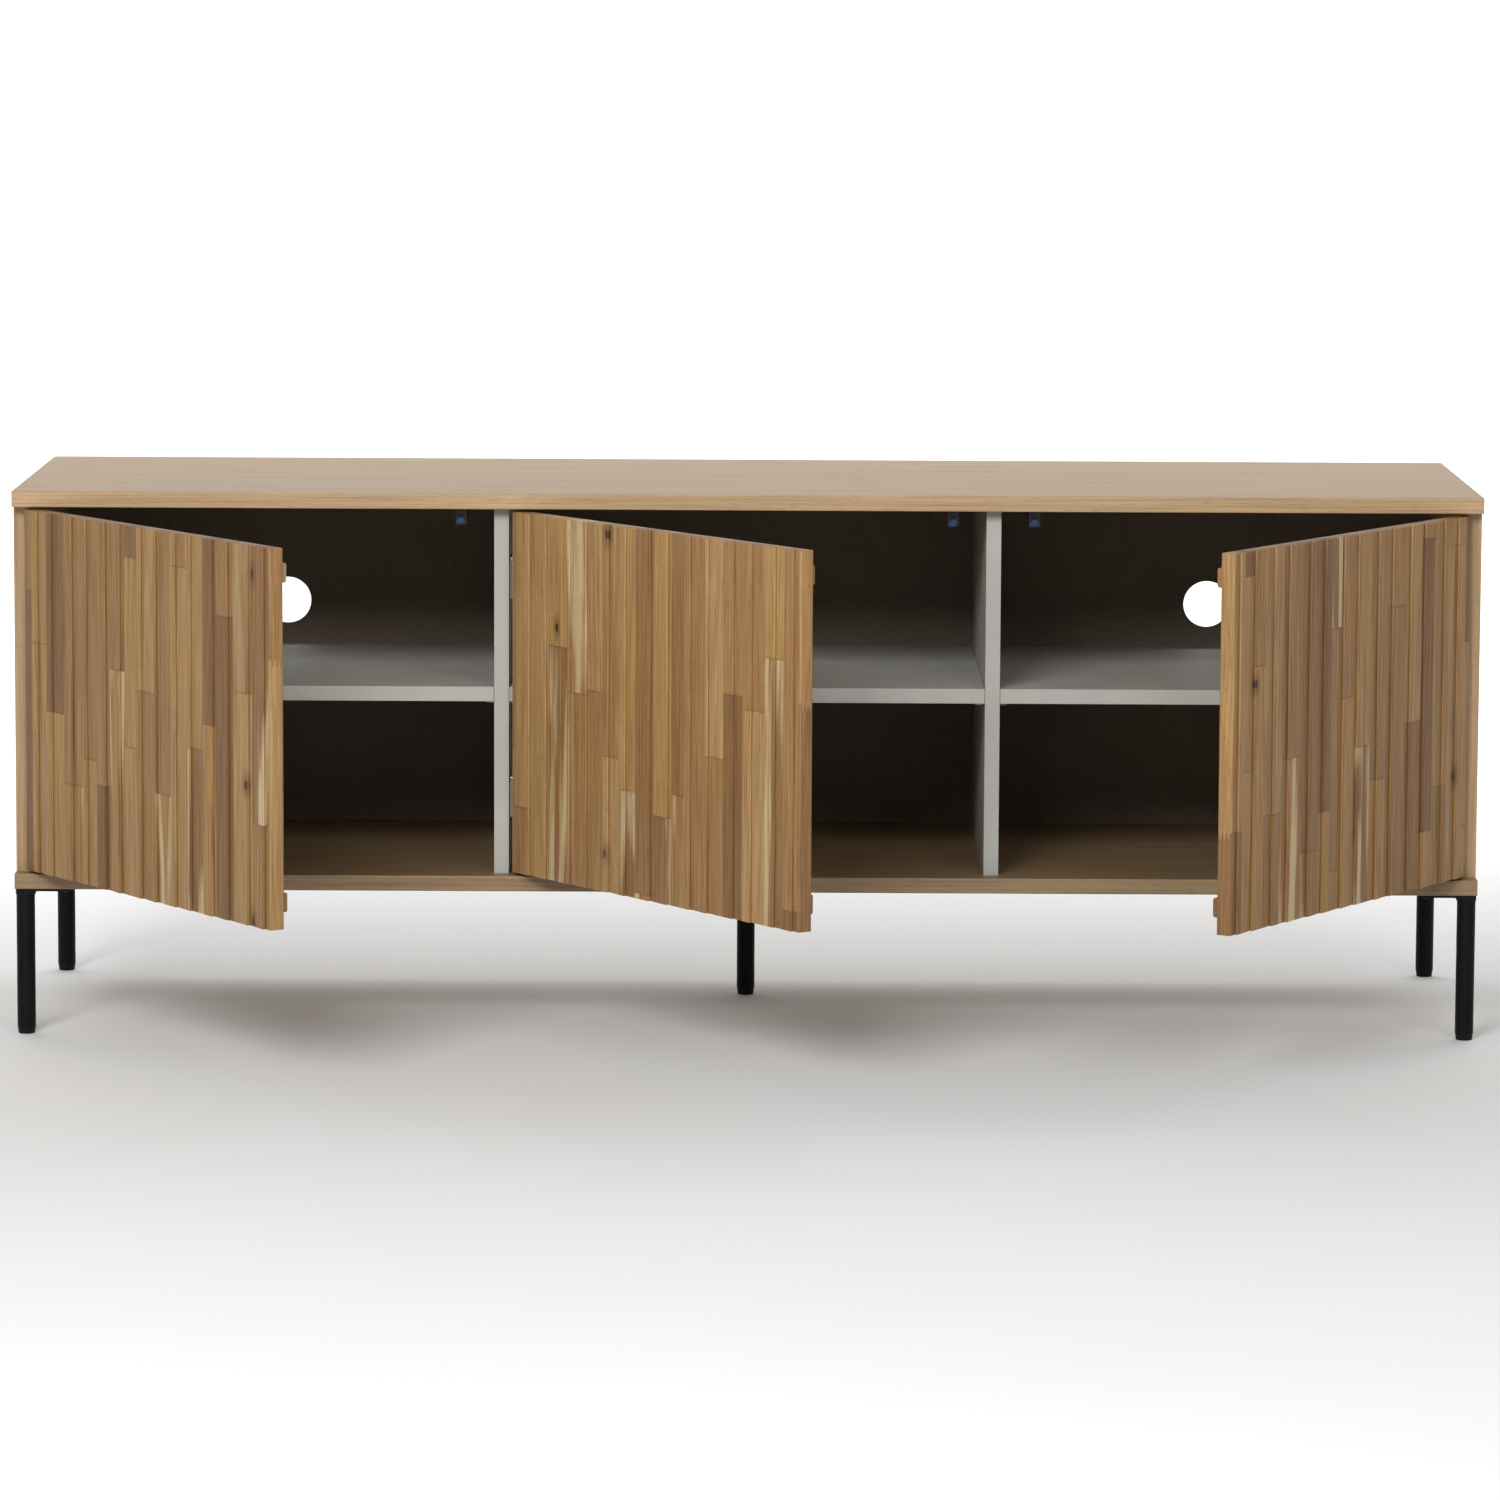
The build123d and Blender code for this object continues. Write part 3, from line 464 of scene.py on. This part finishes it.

    # joint lines between staves, and painted shade in a thin line at each step's foot and on proud edges
    glue = add(
        tree, "ShaderNodeValToRGB", joint["Distance"], stops=[(0.0, "#8d7050"), (0.002, "#ffffff")]
    )
    foot = add(tree, "ShaderNodeAttribute", attribute_name="groove")["Fac"]
    crevice_shade = add(tree, "ShaderNodeMath", foot, 1.6, operation="POWER")
    shade_by_fibre = add(tree, "ShaderNodeMath", fibre, 0.6, 0.45, operation="MULTIPLY_ADD")
    step_shade_amount = add(tree, "ShaderNodeMath", crevice_shade[0], shade_by_fibre[0], operation="MULTIPLY")

    layers = [
        # painted shade over the whole door
        (1.0, colour(door_shade), "MULTIPLY"),
        (0.5, ring_tone[0], "MULTIPLY"),
        (0.5, fibre_tone[0], "MULTIPLY"),
        (pale[0], colour("#d2bd92"), "MIX"),
        (heart[0], colour("#7a5636"), "MULTIPLY"),
        (halo[0], colour("#8a6a48"), "MULTIPLY"),
        (core[0], colour("#2c1c10"), "MIX"),
        (0.5, glue[0], "MULTIPLY"),
        (0.45, pore_tone[0], "MULTIPLY"),
        # painted shade at the steps' feet and proud edges, varied a little by the fibre
        (step_shade_amount[0], colour("#8f6841"), "MULTIPLY"),
    ]
    for amount, code, blend in layers:
        mixed = {MIX_FIRST: base, MIX_SECOND: code}
        base = add(
            tree, "ShaderNodeMix", amount, inputs=mixed, data_type="RGBA", blend_type=blend
        )[MIXED]
    gloss = add(tree, "ShaderNodeMapRange", fibre, 0.3, 0.7, 0.62, 0.5)
    surface = add(tree, "ShaderNodeMath", fibre, pores, operation="ADD")
    finish(tree, base, gloss[0], surface[0], 0.00012, {"IOR": 1.5})
    return made


PANEL_SHARP = radians(35)
# door_shade: painted shade, darker on the left door and darker still on the right
for door, seed, door_shade in (
    ("left", 1210.0, "#f0ede1"),
    ("middle", 330.0, "#fffef8"),
    ("right", 4470.0, "#ebe4d8"),
):
    mesh, home, hand = ribbed_panel("oak_door_" + door, door)
    whole = bpy.data.objects.new("uncut_" + door, mesh)
    pockets = cup_pockets(door, home)
    for item in (whole, pockets):
        bpy.context.scene.collection.objects.link(item)
    cut = whole.modifiers.new("cut", "BOOLEAN")
    cut.operation, cut.solver, cut.object = "DIFFERENCE", "EXACT", pockets
    bpy.context.view_layer.update()
    bored = whole.evaluated_get(bpy.context.evaluated_depsgraph_get())
    panel_mesh = bpy.data.meshes.new_from_object(bored)
    for item in (whole, pockets):
        bpy.data.objects.remove(item)
    panel_mesh.transform(home)
    if hand < 0:
        panel_mesh.flip_normals()
    panel_mesh.shade_smooth()
    panel_mesh.set_sharp_from_angle(angle=PANEL_SHARP)
    oak = finger_jointed_oak("finger_jointed_oak_" + door, door, seed, door_shade)
    panel_mesh.materials.clear()
    panel_mesh.materials.append(oak)
    panel = bpy.data.objects.new("oak_door_" + door, panel_mesh)
    bpy.context.scene.collection.objects.link(panel)
    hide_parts("door_panel_" + door)
    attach(panel, "door_" + door)
    # oak battens, screwed across the door's back, stop it cupping
    paint(oak, "batten_upper_" + door, "batten_lower_" + door)

# ---------------------------------------------------------------- screws
# Cross-head wood screws: nickel-plated at the hinge plates, black under the leg plates and
# zinc-plated elsewhere. Each head is domed over its rim and has a cross recess.


def solids(node):
    """The corner points of each separate solid of a CAD node."""
    work = bmesh.new()
    work.from_mesh(frame["nodes"][node].data)
    bmesh.ops.remove_doubles(work, verts=work.verts, dist=TOUCH)
    left, groups = set(work.verts), []
    while left:
        group, edge = [], [left.pop()]
        while edge:
            v = edge.pop()
            group.append(v.co.copy())
            near = {e.other_vert(v) for e in v.link_edges} & left
            left -= near
            edge.extend(near)
        groups.append(group)
    work.free()
    return groups


SEAT_BLOCK = (0.03, 0.03, 0.01)  # wider than any head
CROSS_ARM = (0.26, 1.15, 1.3)  # of the head's radius, radius and height
SHANK_DROP = 0.499  # of the shank's length, so that its top ends inside the head
SCREW_SHARP, TURN_SEED = radians(40), 7


def screw_tree():
    """Geometry Nodes: a cross-head screw on each point, turned to the point's axis."""
    tree = bpy.data.node_groups.new("cross_head_screws", "GeometryNodeTree")
    sockets = {
        "Points": "NodeSocketGeometry",
        "Head Radius": "NodeSocketFloat",
        "Head Height": "NodeSocketFloat",
        "Shank Radius": "NodeSocketFloat",
        "Seed": "NodeSocketInt",
        "Finish": "NodeSocketMaterial",
    }
    for name, kind in sockets.items():
        tree.interface.new_socket(name, in_out="INPUT", socket_type=kind)
    tree.interface.new_socket("Screws", in_out="OUTPUT", socket_type="NodeSocketGeometry")
    given = add(tree, "NodeGroupInput")
    radius, height = given["Head Radius"], given["Head Height"]

    # the head: a lens cut off flat at its seat, with a cross cut into its top
    ball = add(tree, "GeometryNodeMeshUVSphere", 24, 16, radius)
    ratio = add(tree, "ShaderNodeMath", height, radius, operation="DIVIDE")
    squash = add(tree, "ShaderNodeCombineXYZ", 1.0, 1.0, ratio[0])
    lens = add(tree, "GeometryNodeTransform", ball[0], inputs={"Scale": squash[0]})
    block = add(tree, "GeometryNodeMeshCube", SEAT_BLOCK)
    below = (0.0, 0.0, -SEAT_BLOCK[2] / 2)
    block = add(tree, "GeometryNodeTransform", block[0], inputs={"Translation": below})
    cutters = [block[0]]
    room = add(tree, "ShaderNodeCombineXYZ", radius, radius, height)
    crown = add(tree, "ShaderNodeCombineXYZ", 0.0, 0.0, height)
    for share in (CROSS_ARM, (CROSS_ARM[1], CROSS_ARM[0], CROSS_ARM[2])):
        size = add(tree, "ShaderNodeVectorMath", room[0], share, operation="MULTIPLY")
        arm = add(tree, "GeometryNodeMeshCube", size[0])
        arm = add(tree, "GeometryNodeTransform", arm[0], inputs={"Translation": crown[0]})
        cutters.append(arm[0])
    head = add(tree, "GeometryNodeMeshBoolean", lens[0], cutters, operation="DIFFERENCE")

    # the shank: one metre long, and scaled to each point's reach
    bar = {"Radius": given["Shank Radius"], "Depth": 1.0}
    shank = add(tree, "GeometryNodeMeshCylinder", 16, inputs=bar)
    hang = {"Translation": (0.0, 0.0, -SHANK_DROP)}
    shank = add(tree, "GeometryNodeTransform", shank[0], inputs=hang)
    reach = add(tree, "GeometryNodeInputNamedAttribute", "reach", data_type="FLOAT")
    stretch = add(tree, "ShaderNodeCombineXYZ", 1.0, 1.0, reach[0])

    # each screw stands along its point's axis, at a random turn about it
    axis = add(tree, "GeometryNodeInputNamedAttribute", "axis", data_type="FLOAT_VECTOR")
    aim = add(tree, "FunctionNodeAlignRotationToVector", inputs={"Vector": axis[0]}, axis="Z")
    draw = {2: 0.0, 3: pi, 8: given["Seed"]}  # the least and most turn, then the seed
    spin = add(tree, "FunctionNodeRandomValue", inputs=draw, data_type="FLOAT")
    spin = add(tree, "ShaderNodeCombineXYZ", 0.0, 0.0, spin[1])
    spin = add(tree, "FunctionNodeEulerToRotation", spin[0])
    whole = add(
        tree, "FunctionNodeRotateRotation", aim[0], spin[0], rotation_space="LOCAL"
    )
    screws = []
    for piece, scale in ((head[0], (1.0, 1.0, 1.0)), (shank[0], stretch[0])):
        inputs = {"Instance": piece, "Rotation": whole[0], "Scale": scale}
        placed = add(tree, "GeometryNodeInstanceOnPoints", given["Points"], inputs=inputs)
        screws.append(placed[0])
    joined = add(tree, "GeometryNodeJoinGeometry", screws)
    real = add(tree, "GeometryNodeRealizeInstances", joined[0])
    done = add(tree, "GeometryNodeSetMaterial", real[0], inputs={"Material": given["Finish"]})
    add(tree, "NodeGroupOutput", done[0])
    return tree


SCREWS = screw_tree()


def screw_set(node, body, slot, made, facing, head, head_height, shank):
    """Replaces a CAD screw group by finished screws; facing is the way the heads look."""
    points, axes, reaches = [], [], []
    for group in solids(node):
        centre = sum(group, Vector()) / len(group)
        look = facing(centre)
        side = look.orthogonal().normalized()
        other = look.cross(side)
        spans = [[p.dot(way) for p in group] for way in (side, other, look)]
        middle = [(min(s) + max(s)) / 2 for s in spans[:2]]
        top, bottom = max(spans[2]), min(spans[2])
        reaches.append(top - bottom - head_height)
        points.append(side * middle[0] + other * middle[1] + look * (top - head_height))
        axes.append(look)
    mesh = bpy.data.meshes.new(node)
    mesh.from_pydata(points, [], [])
    store = mesh.attributes.new("axis", "FLOAT_VECTOR", "POINT")
    for item, look in zip(store.data, axes):
        item.vector = look
    store = mesh.attributes.new("reach", "FLOAT", "POINT")
    for item, reach in zip(store.data, reaches):
        item.value = reach
    holder = bpy.data.objects.new(node, mesh)
    bpy.context.scene.collection.objects.link(holder)
    maker = holder.modifiers.new("screws", "NODES")
    maker.node_group = SCREWS
    names = {s.name: s.identifier for s in SCREWS.interface.items_tree if s.in_out == "INPUT"}
    values = {
        "Head Radius": head,
        "Head Height": head_height,
        "Shank Radius": shank,
        "Seed": TURN_SEED,
        "Finish": made,
    }
    for name, value in values.items():
        maker[names[name]] = value
    bpy.context.view_layer.update()
    ready = holder.evaluated_get(bpy.context.evaluated_depsgraph_get())
    result = bpy.data.meshes.new_from_object(ready)
    bpy.data.objects.remove(holder)
    piece = bpy.data.objects.new("cross_head_" + node, result)
    bpy.context.scene.collection.objects.link(piece)
    result.shade_smooth()
    result.set_sharp_from_angle(angle=SCREW_SHARP)
    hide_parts(node)
    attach(piece, body)


plated = bright_metal("zinc_plated_steel", "#a8a9ab", "#c2c3c5", (0.6, 0.6, 0.6), 0.25, 0.4)
black_zinc = bright_metal("black_zinc_steel", "#1b1b1c", "#29292a", (0.6, 0.6, 0.6), 0.35, 0.5)
DOWN, BACK = Vector((0, 0, -1)), Vector((0, 1, 0))
HINGE_SCREW = (0.0034, 0.0016, 0.0016)  # radius and height of the head, radius of the shank
HINGE_PANELS = (("side_panel_left", 1), ("divider_left", 1), ("side_panel_right", -1))


def away_from_panel(point):
    """The plate screws look out of the panel that they are driven into."""
    nearness = []
    for name, side in HINGE_PANELS:
        xs = [v.co.x for v in frame["nodes"][name].data.vertices]
        nearness.append((abs((min(xs) + max(xs)) / 2 - point.x), side))
    return Vector((min(nearness)[1], 0, 0))


for node, slot, made, look, sizes in (
    ("back_panel_screws", "zinc_steel", plated, lambda p: BACK, (0.003, 0.0018, 0.0015)),
    ("leg_screws", "black_screw", black_zinc, lambda p: DOWN, (0.0038, 0.0022, 0.0019)),
    ("latch_screws", "zinc_steel", plated, lambda p: DOWN, (0.0026, 0.0016, 0.0016)),
):
    screw_set(node, "cabinet", slot, made, look, *sizes)
screw_set(
    "hinge_plate_screws", "cabinet", "nickel_steel", nickel, away_from_panel, *HINGE_SCREW
)
for door in DOORS:
    behind = (door_places(door)[0].to_3x3() @ BACK).normalized()
    node, body = "door_screws_" + door, "door_" + door
    screw_set(node, body, "zinc_steel", plated, lambda p: behind, *HINGE_SCREW)

# ---------------------------------------------------------------- push latches
# Moulded black latch bodies under the top board, each with a sprung dark blue plunger whose
# tip holds a small blued magnet; a zinc-plated disc on the door meets it.
latch_shell = sprayed_lacquer("black_moulded_abs", "#141416", "#1d1d20", 0.7, 0.38, 0.5)
plunger_blue = sprayed_lacquer("blue_moulded_acetal", "#1e3558", "#2a4876", 0.7, 0.3, 0.42)
magnet_plate = bright_metal(
    "blued_steel_magnet", "#2a3f63", "#3d5680", (0.5, 0.5, 0.5), 0.3, 0.45
)
for door in DOORS:
    paint(latch_shell, "latch_body_" + door)
    paint(plunger_blue, "latch_plunger_" + door)
    paint(magnet_plate, "latch_magnet_" + door)
    paint(plated, "strike_plate_" + door)

# ---------------------------------------------------------------- studio
# A plain pale floor and pale surroundings, with a soft box on each side in front, the left one
# stronger, and a broad one over the floor behind.
FLOOR_SIDE, FLOOR_FRONT, FLOOR_BACK = 30.0, -30.0, 8.0
floor_mesh = bpy.data.meshes.new("studio_floor")
corners = [(-FLOOR_SIDE, FLOOR_FRONT), (FLOOR_SIDE, FLOOR_FRONT)]
corners += [(FLOOR_SIDE, FLOOR_BACK), (-FLOOR_SIDE, FLOOR_BACK)]
floor_mesh.from_pydata([(x, y, 0.0) for x, y in corners], [], [(0, 1, 2, 3)])
studio_floor = bpy.data.objects.new("studio_floor", floor_mesh)
bpy.context.scene.collection.objects.link(studio_floor)
floor_paint, tree, here = new_material("white_studio_floor")
cloud = add(tree, "ShaderNodeTexNoise", here, inputs={"Scale": 2.0, "Detail": 2.0})[0]
floor_tone = add(tree, "ShaderNodeValToRGB", cloud, stops=[(0.3, "#e9e9e8"), (0.7, "#ebebea")])
finish(tree, floor_tone[0], 0.9, cloud, 0.0)
floor_mesh.materials.append(floor_paint)

# the surroundings are grey in front and overhead, and white behind
world = bpy.data.worlds.new("pale_studio")
world.use_nodes = True
tree = world.node_tree
tree.nodes.clear()
heading = add(tree, "ShaderNodeTexCoord")["Generated"]
ahead = add(tree, "ShaderNodeVectorMath", heading, (0, 0.5, -0.2), operation="DOT_PRODUCT")
share = add(tree, "ShaderNodeMath", ahead["Value"], 0.5, operation="ADD")
sky_stops = [(0.0, "#7d7d7d"), (0.5, "#989898"), (0.8, "#d8d8d8"), (0.97, "#ffffff")]
sky = add(tree, "ShaderNodeValToRGB", share[0], stops=sky_stops)
glow = add(tree, "ShaderNodeBackground", sky[0], 1.06)
add(tree, "ShaderNodeOutputWorld", glow[0])
bpy.context.scene.world = world


def softbox(name, place, aim, size, power, spread=180):
    """A rectangular soft light that looks at a point."""
    lamp = bpy.data.lights.new(name, "AREA")
    lamp.shape, lamp.size, lamp.size_y, lamp.energy = "RECTANGLE", size[0], size[1], power
    lamp.spread = radians(spread)
    item = bpy.data.objects.new(name, lamp)
    item.location = place
    item.rotation_euler = (Vector(aim) - Vector(place)).to_track_quat("-Z", "Y").to_euler()
    bpy.context.scene.collection.objects.link(item)


softbox("left_softbox", (-1.3, -4.3, 2.7), (-0.1, 0, 0.4), (2.0, 1.4), 165.0)
softbox("right_softbox", (1.6, -4.3, 2.7), (0.1, 0, 0.4), (2.0, 1.4), 58.0)
softbox("floor_softbox", (0.0, 4.9, 2.0), (0.0, 4.9, 0.0), (16.0, 7.4), 560.0, 130)

CAMERA_PLACE = (-0.0021, -6.9198, 1.1642)
CAMERA_YAW, CAMERA_PITCH, CAMERA_ROLL = 0.000785, 0.12479, 0.0048864
SENSOR_WIDTH, FOCAL_LENGTH = 36.0, 163.23  # millimetres
lens = bpy.data.cameras.new("camera")
lens.sensor_width, lens.lens = SENSOR_WIDTH, FOCAL_LENGTH
camera = bpy.data.objects.new("camera", lens)
camera.matrix_world = (
    Matrix.Translation(CAMERA_PLACE)
    @ Matrix.Rotation(-CAMERA_YAW, 4, "Z")
    @ Matrix.Rotation(pi / 2 - CAMERA_PITCH, 4, "X")
    @ Matrix.Rotation(CAMERA_ROLL, 4, "Z")
)
bpy.context.scene.collection.objects.link(camera)
bpy.context.scene.camera = camera
bpy.context.scene.view_settings.view_transform = "Standard"
